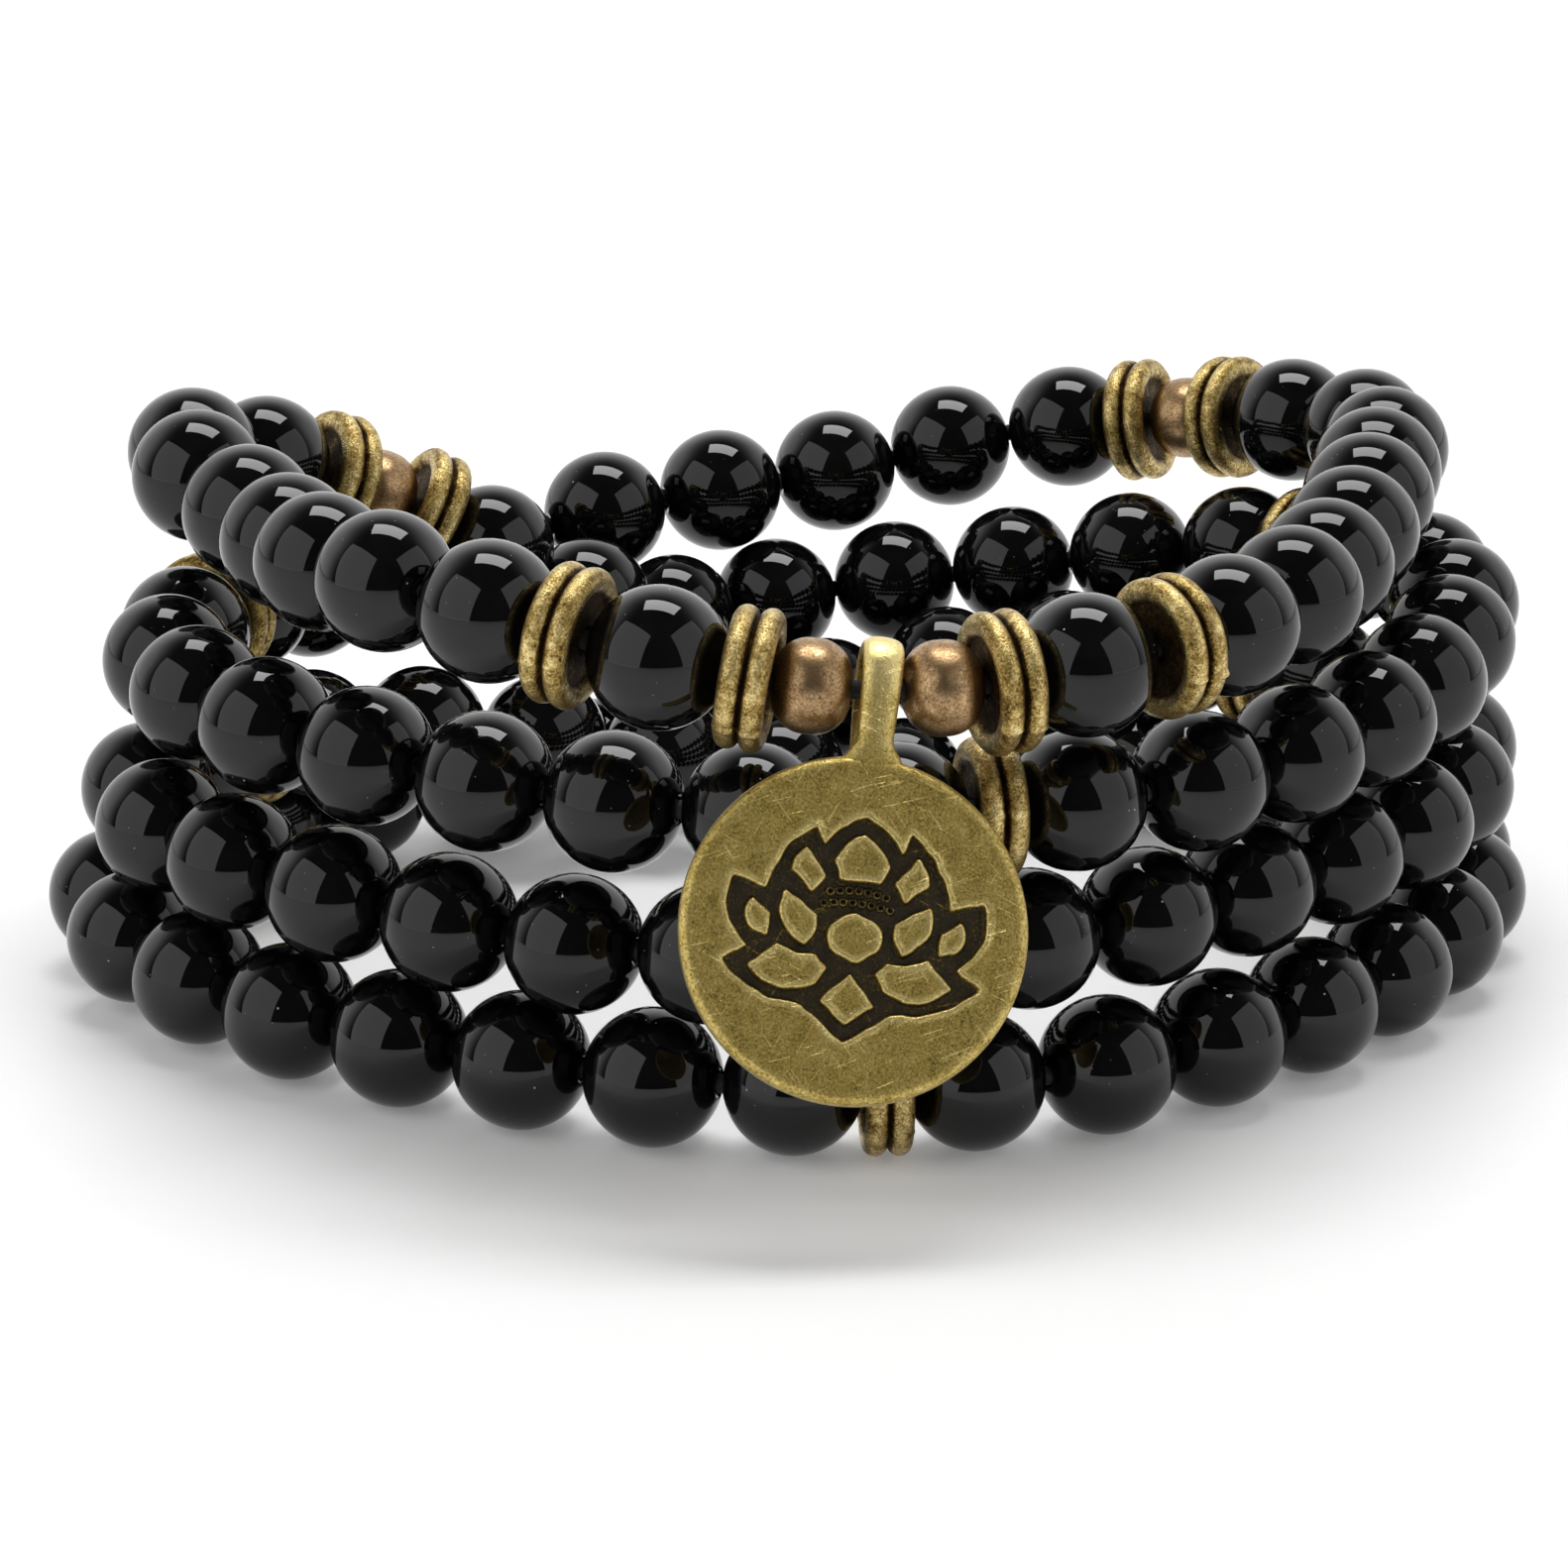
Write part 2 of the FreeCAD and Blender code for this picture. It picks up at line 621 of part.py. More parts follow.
def charm_placement(rod, lean, turn):
    """The charm leans out in front of the lower beads, turned a little on its string."""
    along = direction(rod) * -1
    down = Vector(0, 0, -1)
    down = (down - along * down.dot(along)).normalize()
    front = down.cross(along)
    out = math.radians(lean)
    upward = (down * math.cos(out) + front * math.sin(out)) * -1
    square = Rotation(along, upward.cross(along), upward, "ZXY")
    return Placement(Vector(*rod.middle()), square * Rotation(Vector(0, 1, 0), turn))


def piece_placement(rod):
    """A round piece sits on the middle of its rod with its hole along the rod."""
    return Placement(Vector(*rod.middle()), Rotation(Vector(0, 0, 1), direction(rod)))


def place_copy(doc, name, pattern, placement):
    """A placed copy of a pattern piece."""
    copy = doc.addObject("App::Link", name)
    copy.LinkedObject = pattern
    copy.Label = name
    copy.Placement = placement
    return copy


def place_string(doc, names, rods, patterns, size):
    """A node for each single piece, and one for each group of beads that shares a name."""
    nodes = []
    members = {}
    for name, rod in zip(names, rods):
        members.setdefault(name, []).append(rod)
    for name, group in members.items():
        kind = "knotted_spacer" if name in KNOTTED else group[0].kind
        copies = []
        for number, rod in enumerate(group, start=1):
            if kind == "loop":
                placement = charm_placement(rod, size.charm_lean, size.charm_turn)
            else:
                placement = piece_placement(rod)
            label = name if len(group) == 1 else "%s_%d" % (name, number)
            copies.append(place_copy(doc, label, patterns[kind], placement))
        if len(group) == 1:
            nodes.append(copies[0])
        else:
            joined = doc.addObject("Part::Compound", name)
            joined.Links = copies
            nodes.append(joined)
    doc.recompute()
    return nodes


def stand_at_origin(nodes):
    """Shift everything so that the bottom middle of the whole is at the origin."""
    whole = FreeCAD.BoundBox()
    for node in nodes:
        whole.add(node.Shape.optimalBoundingBox(False))
    shift = Placement(Vector(-whole.Center.x, -whole.Center.y, -whole.ZMin), Rotation())
    for node in nodes:
        node.Placement = shift * node.Placement


def check_and_export(doc, nodes):
    """Stop if anything failed, then write each node to its own file."""
    for thing in doc.Objects:
        if {"Invalid", "Error"} & set(thing.State):
            raise RuntimeError("%s failed" % thing.Label)
    for node in nodes:
        if node.Shape.isNull() or not node.Shape.isValid():
            raise RuntimeError("%s is not a sound shape" % node.Label)
    os.makedirs("parts", exist_ok=True)
    for node in nodes:
        node.Shape.exportStep("parts/%s.step" % node.Label)


doc = FreeCAD.newDocument("mala")
sheet = doc.addObject("Spreadsheet::Sheet", "dimensions")
for row, (alias, value, meaning) in enumerate(DIMENSIONS, start=1):
    sheet.set("A%d" % row, meaning)
    sheet.set("B%d" % row, str(value))
    sheet.setAlias("B%d" % row, alias)
doc.recompute()
size = Sizes(sheet)

patterns = {
    "bead": make_bead(doc, size),
    "spacer": make_spacer(doc, "spacer_pattern", "dimensions.bore_diameter"),
    "knotted_spacer": make_spacer(doc, "knotted_spacer_pattern", "dimensions.knot_bore"),
    "barrel": make_barrel(doc, size),
    "loop": make_charm(doc, size),
}
doc.recompute()

charm_string = make_rods(charm_order(), CHARM_ROUTE, size)
plain_string = make_rods(plain_order(), PLAIN_ROUTE, size)
settle(charm_string + plain_string)

strings = [
    ("charm", charm_names(), charm_string),
    ("plain", plain_names(), plain_string),
]
nodes = []
for title, names, rods in strings:
    nodes += place_string(doc, names, rods, patterns, size)
    knotted = next(rod for name, rod in zip(names, rods) if name in KNOTTED)
    nodes.append(make_elastic(doc, title + "_elastic", knotted, size))
    knot = make_knot(doc, title + "_knot")
    knot.Placement = piece_placement(knotted)
    nodes.append(knot)
doc.recompute()
stand_at_origin(nodes)
doc.recompute()
check_and_export(doc, nodes)
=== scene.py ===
import json
import math
import random

import bmesh
import bpy
import numpy as np
from mathutils import Matrix, Vector, noise

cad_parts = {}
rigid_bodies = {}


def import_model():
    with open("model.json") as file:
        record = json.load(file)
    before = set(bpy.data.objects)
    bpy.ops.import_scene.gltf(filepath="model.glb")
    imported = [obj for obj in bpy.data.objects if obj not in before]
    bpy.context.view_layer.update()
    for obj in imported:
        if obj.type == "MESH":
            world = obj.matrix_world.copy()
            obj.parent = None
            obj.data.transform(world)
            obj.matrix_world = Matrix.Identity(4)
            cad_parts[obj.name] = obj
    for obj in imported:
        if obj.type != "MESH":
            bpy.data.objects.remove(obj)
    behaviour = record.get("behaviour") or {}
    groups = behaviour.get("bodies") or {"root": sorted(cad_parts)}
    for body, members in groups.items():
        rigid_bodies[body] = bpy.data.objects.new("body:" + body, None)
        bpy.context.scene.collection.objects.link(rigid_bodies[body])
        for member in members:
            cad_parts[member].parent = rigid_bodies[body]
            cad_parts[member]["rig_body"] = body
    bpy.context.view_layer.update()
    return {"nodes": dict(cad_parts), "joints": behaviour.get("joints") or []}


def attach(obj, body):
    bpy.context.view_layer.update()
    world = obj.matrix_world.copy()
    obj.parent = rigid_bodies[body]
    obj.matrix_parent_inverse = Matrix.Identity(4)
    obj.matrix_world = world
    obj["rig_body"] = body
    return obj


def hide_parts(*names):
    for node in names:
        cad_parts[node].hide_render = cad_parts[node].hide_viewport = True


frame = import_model()

MM = 0.001
SEED = 17

# Beads and spacers, in millimetres
BEAD_RADIUS = 3.0
BORE_RADIUS = 0.5
BORE_ROUNDING = 0.08
SPACER_RADIUS = 3.02
RIM_RADIUS = 0.53
RIM_OFFSET = 0.52
WEB_HALF = 0.72
GROOVE_RADIUS = 2.62
KNOTTED_BORE = 0.95
KNOTTED_SPACERS = ("right_turn_spacer", "lower_spacer_3")
CAST_DENT = 0.055         # how far a cast surface sinks in its hollows
CAST_LEVEL = 0.42         # share of that dent where the casting's unevenness is nil
BARREL_DENT = 0.02
SMOOTH_REACH = 0.6        # from the hole's wall out, a cast surface is left smooth
FLASH_HEIGHT = 0.13       # ridge that the mould left across the spacer's rims
FLASH_WIDTH = 0.09
BARREL_RADIUS = 1.99
BARREL_HALF = 1.64
BARREL_ROUNDING = 1.5
BEAD_AROUND = 72          # points round each kind of piece
SPACER_AROUND = 120
BARREL_AROUND = 72

# Charm, in millimetres; its string hole runs along X through the origin
CHARM_LEAN = math.radians(25)
CHARM_TURN = math.radians(6.5)
DISC_RADIUS = 7.1
DISC_MIDDLE = -10.05
DISC_BACK = -0.36
DISC_THICKNESS = 1.2
DISC_EDGE = 0.42
RECESS_DEPTH = 0.34
RECESS_SLOPE = 0.13       # width of the recess wall, seen from the front
LOOP_HALF_DEPTH = 1.2     # to the middle of the loop's metal
LOOP_TOP = 1.78
LOOP_BOTTOM = -3.15
LOOP_BAND = 0.84
LOOP_WIDTH_TOP = 1.68
LOOP_WIDTH_LOW = 1.45
LOOP_FOOT = 0.35          # the loop's front reaches this much further down than its back
FOOT_TOP = -2.15
FOOT_FADE = 1.15          # height over which the foot spreads
FOOT_SPREAD = 0.55        # added to each side of the loop at its foot
FOOT_THINNING = 0.15
LOOP_AROUND = 36
LOOP_SQUARENESS = 0.85    # 1 gives an oval section and less gives a squarer one
DISC_AROUND = 460
CENTRE_RADIUS = 0.02      # of the small hole that a fan of quads closes
LOTUS_REACH = 5.5         # the fine grid of points ends here
LIP_OFFSET = 0.16         # raised lip beside each cast line
LIP_WIDTH = 0.11
LIP_HEIGHT = 0.03
SWELL_WIDTH = 0.5         # soft swelling of the petals
SWELL_HEIGHT = 0.02
SEED_HEIGHT = 0.22

# Wear of the charm, from 0 for dark patina to 1 for bright metal; on the loop's top it also holds a painted
# highlight
FACE_WEAR = 0.5
BACK_WEAR = 0.56
RIM_WEAR = 0.3
LIP_WEAR = 0.34
RECESS_WEAR = -0.44
SEED_WEAR = 0.2
LOOP_WEAR = 0.56
POLISH_AND_PAINTED_HIGHLIGHT = 0.4         # top of the loop, where it rubs, made brighter still as a painted highlight
OUTSIDE_WEAR = 0.1

# Reaches on the charm's face, in shares of the disc's radius
LOTUS_BOX = 0.8           # half width of the square that holds the lotus
SWELL_REACH = 0.6
RIM_START = 0.925
RIM_FADE = 0.05

# Lotus, in shares of the disc's radius, right half only. Each step is the point that an arc
# passes through, or None for a straight line, and the point that it ends at.
LOTUS_START = (0.0, 0.66)
LOTUS_OUTLINE = [
    ((0.125, 0.58), (0.222, 0.475)), (None, (0.27, 0.58)),
    ((0.435, 0.42), (0.537, 0.188)), (None, (0.722, 0.234)),
    ((0.745, 0.03), (0.611, -0.16)), (None, (0.748, -0.25)),
    ((0.56, -0.4), (0.255, -0.47)), (None, (0.0, -0.656)),
]
MIDDLE_ISLANDS = [
    ((0.0, 0.55), [((0.09, 0.48), (0.155, 0.373)), (None, (0.12, 0.28)), (None, (0.0, 0.28))]),
    ((0.0, 0.085), [((0.08, 0.06), (0.148, 0.0)), ((0.13, -0.12), (0.0, -0.185))]),
    ((0.0, -0.258), [(None, (0.152, -0.428)), (None, (0.0, -0.534))]),
]
SIDE_ISLANDS = [
    ((0.326, 0.431), [((0.37, 0.37), (0.388, 0.3)), (None, (0.269, 0.196)), (None, (0.205, 0.28)),
                      (None, (0.326, 0.431))]),
    ((0.33, 0.12), [(None, (0.425, 0.172)), ((0.41, 0.0), (0.28, -0.115)),
                    ((0.235, -0.04), (0.227, 0.053)), (None, (0.33, 0.12))]),
    ((0.6, 0.1), [((0.63, 0.03), (0.567, -0.06)), (None, (0.5, -0.085)), (None, (0.5, 0.03)),
                  (None, (0.6, 0.1))]),
    ((0.2, -0.185), [(None, (0.318, -0.18)), (None, (0.44, -0.137)), (None, (0.595, -0.272)),
                     ((0.4, -0.375), (0.198, -0.329)), (None, (0.139, -0.237)),
                     (None, (0.2, -0.185))]),
]
OUTLINE_INSET = 0.008     # the sunk part ends this far inside its outline
PETAL_SHARE = 0.9         # raised petals are shrunk to this share about their middles
PETAL_GROWTH = 0.018      # and then grown by this, which rounds their corners
LINE_WOBBLE = 0.014       # unevenness of the cast lines
WOBBLE_SCALE = 10.0
SEED_ROWS = [(0.135, 0.19, 8), (0.205, 0.16, 7)]  # height, half width and count of seeds
SEED_RADIUS = 0.02
SEED_LINE = 0.009
SEED_RISE = 0.02          # each row is bowed up by this at its middle

SCRATCH_STRETCH = 0.33    # the less, the longer the charm's scratches are
SCRATCH_EDGE = 0.035
# Angle and fineness of the sets of scratches after the first
OTHER_SCRATCHES = ((-0.4, 11.0), (1.9, 8.0), (1.2, 12.0), (-1.1, 10.0))

# Camera and light, in metres
CAMERA_PLACE = (-0.00196, -0.26757, 0.09257)
CAMERA_TILT = math.radians(17.37)
CAMERA_TURN = math.radians(0.36)
LENS = 141.5
SENSOR = 36.0
LIGHTS = [
    # name, place, point it faces, width, height, radiance
    ("softbox", (0.03, 0.12, 0.52), (0, 0, 0), 0.36, 0.2, 7.5),
    ("left_wall", (-0.62, -0.42, 0.42), (0, 0, 0.1), 0.95, 0.95, 1.2),
    ("right_wall", (0.72, -0.36, 0.42), (0, 0, 0.1), 0.9, 0.95, 0.95),
]

draws = random.Random(SEED)


# ------------------------------------------------------------------ shader nodes


def add_node(tree, kind, settings=None, **inputs):
    """A shader node; an input is a socket to link or a value to set."""
    node = tree.nodes.new("ShaderNode" + kind)
    for name, value in (settings or {}).items():
        setattr(node, name, value)
    for name, value in inputs.items():
        socket = node.inputs[int(name[1:])] if name[0] == "i" and name[1:].isdigit() else node.inputs[name]
        if isinstance(value, bpy.types.NodeSocket):
            tree.links.new(value, socket)
        else:
            socket.default_value = value
    return node


def new_material(name):
    """An empty material with its surface shader."""
    material = bpy.data.materials.new(name)
    material.use_nodes = True
    tree = material.node_tree
    tree.nodes.clear()
    output = tree.nodes.new("ShaderNodeOutputMaterial")
    surface = tree.nodes.new("ShaderNodeBsdfPrincipled")
    tree.links.new(surface.outputs[0], output.inputs["Surface"])
    return material, tree, surface


def feed(tree, surface, **inputs):
    """Link or set the surface shader's inputs, underscores standing for spaces."""
    for name, value in inputs.items():
        socket = surface.inputs[name.replace("_", " ")]
        if isinstance(value, bpy.types.NodeSocket):
            tree.links.new(value, socket)
        else:
            socket.default_value = value


def own_place(tree):
    """Place on the piece itself, in millimetres, shifted differently for each piece."""
    return add_node(tree, "Attribute", {"attribute_name": "own_place"}).outputs["Vector"]


def noise_value(tree, place, scale, detail=3.0, roughness=0.55):
    """Soft random value about 0.5, from noise of a scale in features per unit."""
    texture = add_node(tree, "TexNoise", None, Vector=place, Scale=scale, Detail=detail, Roughness=roughness)
    return texture.outputs[0]


def maths(tree, operation, first, second):
    """Result of one Math node."""
    return add_node(tree, "Math", {"operation": operation}, i0=first, i1=second).outputs[0]


def between(tree, value, low, high, low_out=0.0, high_out=1.0):
    """Value mapped smoothly from one range to another."""
    settings = {"interpolation_type": "SMOOTHSTEP"}
    mapped = add_node(tree, "MapRange", settings, Value=value)
    mapped.inputs["From Min"].default_value = low
    mapped.inputs["From Max"].default_value = high
    mapped.inputs["To Min"].default_value = low_out
    mapped.inputs["To Max"].default_value = high_out
    return mapped.outputs[0]


def ramp(tree, value, stops):
    """Colour ramp through (place, (r, g, b)) stops."""
    node = add_node(tree, "ValToRGB", None, Fac=value)
    elements = node.color_ramp.elements
    while len(elements) < len(stops):
        elements.new(0.5)
    for element, (place, colour) in zip(elements, stops):
        element.position = place
        element.color = (*colour, 1.0)
    return node.outputs[0]


def mix_colour(tree, share, first, second):
    """First colour, with a share of the second mixed in."""
    mixed = add_node(tree, "Mix", {"data_type": "RGBA"})
    for socket, value in ((mixed.inputs[0], share), (mixed.inputs[6], first), (mixed.inputs[7], second)):
        if isinstance(value, bpy.types.NodeSocket):
            tree.links.new(value, socket)
        else:
            socket.default_value = value if isinstance(value, float) else (*value, 1.0)
    return mixed.outputs[2]


def bump(tree, height, distance_mm, normal=None):
    """Surface direction of a relief with this depth in millimetres."""
    node = add_node(tree, "Bump", None, Height=height, Strength=1.0, Distance=distance_mm * MM)
    if normal is not None:
        tree.links.new(normal, node.inputs["Normal"])
    return node.outputs[0]


def specks(tree, place, scale, size, share):
    """Sparse round specks: 1 inside a speck, 0 elsewhere."""
    cells = add_node(tree, "TexVoronoi", None, Vector=place, Scale=scale)
    inside = between(tree, cells.outputs["Distance"], size, size * 0.6)
    chosen = add_node(tree, "SeparateColor", None, Color=cells.outputs["Color"]).outputs[0]
    kept = maths(tree, "GREATER_THAN", chosen, 1 - share)
    return maths(tree, "MULTIPLY", inside, kept)


def scratches(tree, place, angle, scale, share):
    """Thin straight scratches at an angle about the charm's Y axis."""
    turned = add_node(tree, "Mapping", None, Vector=place)
    turned.inputs["Rotation"].default_value = (0, angle, 0)
    drawn_out = add_node(tree, "Mapping", None, Vector=turned.outputs[0])
    drawn_out.inputs["Scale"].default_value = (scale, 1.0, SCRATCH_STRETCH)
    value = noise_value(tree, drawn_out.outputs[0], 1.0, 1.0)
    return between(tree, value, 1 - share, 1 - share + SCRATCH_EDGE)


# ------------------------------------------------------------------ materials


def stone_material():
    """Polished black stone: a clear polish with faint waviness, smudges and dust."""
    material, tree, surface = new_material("black_stone")
    place = own_place(tree)
    dust = specks(tree, place, 1.5, 0.08, 0.06)
    fine_dust = specks(tree, place, 4.0, 0.12, 0.07)
    dust = maths(tree, "MAXIMUM", dust, maths(tree, "MULTIPLY", fine_dust, 0.6))
    cloud = noise_value(tree, place, 0.7, 4.0)
    body = ramp(tree, cloud, [(0.3, (0.0015, 0.0015, 0.0018)), (0.75, (0.004, 0.004, 0.0045))])
    colour = mix_colour(tree, dust, body, (0.42, 0.42, 0.43))
    smudge = between(tree, noise_value(tree, place, 0.9, 5.0), 0.5, 0.78, 0.018, 0.075)
    roughness = maths(tree, "MAXIMUM", smudge, maths(tree, "MULTIPLY", dust, 0.7))
    waviness = bump(tree, noise_value(tree, place, 0.28, 1.0), 0.012)
    grain = bump(tree, noise_value(tree, place, 5.0, 2.0), 0.00015, waviness)
    feed(tree, surface, Base_Color=colour, Roughness=roughness, Normal=grain, IOR=1.44)
    return material


def metal_material(name, stops, rough, grain_depth, mottling, with_scratches=False):
    """Antique metal: patina in the hollows, worn bright edges, cast grain and pits."""
    material, tree, surface = new_material(name)
    place = own_place(tree)
    # wear also carries the painted highlight on the top of the charm's loop
    wear = add_node(tree, "Attribute", {"attribute_name": "wear"}).outputs["Fac"]
    blotches = noise_value(tree, place, 1.1, 6.0, 0.65)
    fine = noise_value(tree, place, 9.0, 4.0, 0.7)
    pits = specks(tree, place, 5.5, 0.3, 0.3)
    worn = maths(tree, "ADD", wear, maths(tree, "MULTIPLY", maths(tree, "SUBTRACT", blotches, 0.5), mottling))
    worn = maths(tree, "ADD", worn, maths(tree, "MULTIPLY", maths(tree, "SUBTRACT", fine, 0.5), 1.3))
    worn = maths(tree, "SUBTRACT", worn, maths(tree, "MULTIPLY", pits, 0.16))
    height = maths(tree, "ADD", maths(tree, "MULTIPLY", fine, 0.7), maths(tree, "MULTIPLY", pits, -0.5))
    height = maths(tree, "ADD", height, maths(tree, "MULTIPLY", blotches, 1.2))
    if with_scratches:
        lines = scratches(tree, place, 0.7, 9.0, 0.29)
        for angle, scale in OTHER_SCRATCHES:
            lines = maths(tree, "MAXIMUM", lines, scratches(tree, place, angle, scale, 0.28))
        worn = maths(tree, "ADD", worn, maths(tree, "MULTIPLY", lines, 0.24))
        height = maths(tree, "SUBTRACT", height, maths(tree, "MULTIPLY", lines, 0.5))
    colour = ramp(tree, worn, stops)
    roughness = between(tree, worn, 0.1, 0.95, rough[0], rough[1])
    feed(tree, surface, Base_Color=colour, Metallic=1.0, Roughness=roughness,
         Normal=bump(tree, height, grain_depth))
    return material


def elastic_material():
    """Black elastic thread: matt, with a fine cover of fibres."""
    material, tree, surface = new_material("black_elastic")
    place = add_node(tree, "TexCoord").outputs["Object"]
    fibres = noise_value(tree, place, 9000.0, 3.0)
    colour = ramp(tree, fibres, [(0.3, (0.006, 0.006, 0.006)), (0.7, (0.03, 0.03, 0.032))])
    feed(tree, surface, Base_Color=colour, Roughness=0.75, Normal=bump(tree, fibres, 0.02))
    return material


def floor_material():
    """White paper sweep."""
    material, tree, surface = new_material("white_paper")
    place = add_node(tree, "TexCoord").outputs["Object"]
    fibres = noise_value(tree, place, 900.0, 4.0)
    colour = ramp(tree, fibres, [(0.3, (0.9, 0.9, 0.9)), (0.7, (0.92, 0.92, 0.92))])
    feed(tree, surface, Base_Color=colour, Roughness=0.55)
    surface.inputs["Emission Color"].default_value = (1, 1, 1, 1)
    surface.inputs["Emission Strength"].default_value = 0.16
    return material


# ------------------------------------------------------------------ mesh building


class Shape:
    """Points, faces and wear of a piece or of one part of it, in millimetres."""

    def __init__(self, points, faces, wear):
        self.points = np.array(points, float)
        self.faces = np.array(faces, int)
        self.wear = np.array(wear, float)


def grid_faces(rows, columns, close_rows, close_columns):
    """Quads of a grid of points, with either direction joined up where asked."""
    last_row = rows if close_rows else rows - 1
    last_column = columns if close_columns else columns - 1
    row, column = np.meshgrid(np.arange(last_row), np.arange(last_column), indexing="ij")
    next_row, next_column = (row + 1) % rows, (column + 1) % columns
    corners = [row * columns + column, row * columns + next_column,
               next_row * columns + next_column, next_row * columns + column]
    return np.stack([corner.ravel() for corner in corners], axis=1)


def lathe(profile, around, wear):
    """A closed (radius, height) outline turned about Z."""
    profile = np.array(profile)
    angles = np.arange(around) * (2 * math.pi / around)
    points = np.stack([np.outer(profile[:, 0], np.cos(angles)), np.outer(profile[:, 0], np.sin(angles)),
                       np.repeat(profile[:, 1:2], around, axis=1)], axis=2).reshape(-1, 3)
    return Shape(points, grid_faces(len(profile), around, True, True), np.repeat(wear, around))


def arc(middle, radius, start, end, count):
    """Points on an arc, in degrees from the radius direction."""
    angles = np.radians(np.linspace(start, end, count))
    return [(middle[0] + radius * math.cos(a), middle[1] + radius * math.sin(a)) for a in angles]


def bead_shape():
    """Round bead with its string hole, the hole's edge slightly rounded."""
    reach = math.degrees(math.acos((BORE_RADIUS + BORE_ROUNDING) / BEAD_RADIUS))
    outside = arc((0, 0), BEAD_RADIUS, -reach, reach, 41)
    top = math.sqrt(BEAD_RADIUS**2 - (BORE_RADIUS + BORE_ROUNDING) ** 2)
    straight = top - 2 * BORE_ROUNDING
    hole = [(BORE_RADIUS, height) for height in np.linspace(straight, -straight, 5)]
    profile = outside + hole
    return lathe(profile, BEAD_AROUND, np.ones(len(profile)))


def spacer_shape(bore):
    """Double-rimmed cast spacer: dished faces and a groove between the rims; cast_surface adds the mould
    ridge.
    """
    rim = SPACER_RADIUS - RIM_RADIUS
    inner = 180 + math.degrees(math.asin((WEB_HALF - RIM_OFFSET) / RIM_RADIUS))
    low_rim = arc((rim, -RIM_OFFSET), RIM_RADIUS, inner, 360 + 62, 22)
    web_edge = rim + RIM_RADIUS * math.cos(math.radians(inner))
    web = [(radius, -WEB_HALF) for radius in np.linspace(bore + 0.06, web_edge - 0.06, 7)]
    half = web + low_rim
    profile = half + [(GROOVE_RADIUS, 0.0)] + [(radius, -height) for radius, height in half[::-1]]
    profile += [(bore, height) for height in (WEB_HALF - 0.07, 0.25, -0.25, 0.07 - WEB_HALF)]
    wear = []
    for radius, height in profile:
        outward = (radius - GROOVE_RADIUS) / (SPACER_RADIUS - GROOVE_RADIUS)
        facing = (abs(height) - WEB_HALF) / (RIM_OFFSET + RIM_RADIUS - WEB_HALF)
        wear.append(0.2 + 0.5 * max(0.0, outward, facing) - (0.24 if abs(height) < 0.14 else 0.0))
    return lathe(profile, SPACER_AROUND, np.array(wear))


def barrel_shape():
    """Small drum with well-rounded ends."""
    middle = BARREL_RADIUS - BARREL_ROUNDING
    low = arc((middle, BARREL_ROUNDING - BARREL_HALF), BARREL_ROUNDING, -88, 0, 14)
    profile = low + [(radius, -height) for radius, height in low[::-1]]
    profile += [(BORE_RADIUS, height) for height in (BARREL_HALF - 0.05, 0.0, 0.05 - BARREL_HALF)]
    return lathe(profile, BARREL_AROUND, np.full(len(profile), 0.55))


def cast_surface(shape, dent, ridge_angle=None):
    """Sink a surface unevenly, as cast metal is, and leave the mould's ridge on it."""
    offset = Vector([draws.uniform(-90, 90) for _ in range(3)])
    points = shape.points.copy()
    wear = shape.wear.copy()
    for number, point in enumerate(shape.points):
        length = math.hypot(point[0], point[1])
        if length < BORE_RADIUS + SMOOTH_REACH:
            continue
        place = Vector(point)
        coarse = noise.noise(place * 0.5 + offset)
        medium = noise.noise(place * 1.6 + offset)
        fine = noise.noise(place * 3.2 + offset)
        sunk = dent * max(0.0, CAST_LEVEL - 0.5 * coarse - 0.25 * medium - 0.15 * fine)
        wear[number] -= 1.8 * (sunk - CAST_LEVEL * dent) + 0.14 * fine
        if ridge_angle is not None and length > GROOVE_RADIUS - 0.1:
            away = math.remainder(math.atan2(point[1], point[0]) - ridge_angle, 2 * math.pi) * length
            ridge = math.exp(-(((away + 0.12 * fine) / FLASH_WIDTH) ** 2)) * (0.75 + 0.8 * medium)
            sunk -= FLASH_HEIGHT * ridge
            wear[number] += 0.22 * ridge
        points[number, :2] *= 1 - sunk / length
        points[number, 2] *= 1 - sunk * 0.4
    return Shape(points, shape.faces, wear)


def merge(shapes):
    """Several shapes as one."""
    points, faces, wear, first = [], [], [], 0
    for shape in shapes:
        points.append(shape.points)
        faces.append(shape.faces + first)
        wear.append(shape.wear)
        first += len(shape.points)
    return Shape(np.concatenate(points), np.concatenate(faces), np.concatenate(wear))


def add_piece(name, placed, material, body, node):
    """One object from (shape, matrix in metres) pairs; it rides on a body and replaces a CAD node."""
    points, own = [], []
    for shape, matrix in placed:
        turn = np.array(matrix.to_3x3())
        points.append(shape.points * MM @ turn.T + np.array(matrix.translation))
        shift = np.array([draws.uniform(-400, 400) for _ in range(3)])
        own.append(shape.points + shift)
    whole = merge([shape for shape, _ in placed])
    mesh = bpy.data.meshes.new(name)
    mesh.from_pydata(np.concatenate(points).tolist(), [], whole.faces.tolist())
    mesh.attributes.new("own_place", "FLOAT_VECTOR", "POINT").data.foreach_set(
        "vector", np.concatenate(own).astype(np.float32).ravel())
    mesh.attributes.new("wear", "FLOAT", "POINT").data.foreach_set("value", whole.wear.astype(np.float32))
    mesh.materials.append(material)
    clean = bmesh.new()
    clean.from_mesh(mesh)
    bmesh.ops.recalc_face_normals(clean, faces=clean.faces)
    clean.to_mesh(mesh)
    clean.free()
    mesh.shade_smooth()
    piece = bpy.data.objects.new(name, mesh)
    bpy.context.scene.collection.objects.link(piece)
    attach(piece, body)
    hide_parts(node)
    return piece


# ------------------------------------------------------------------ places from the frame


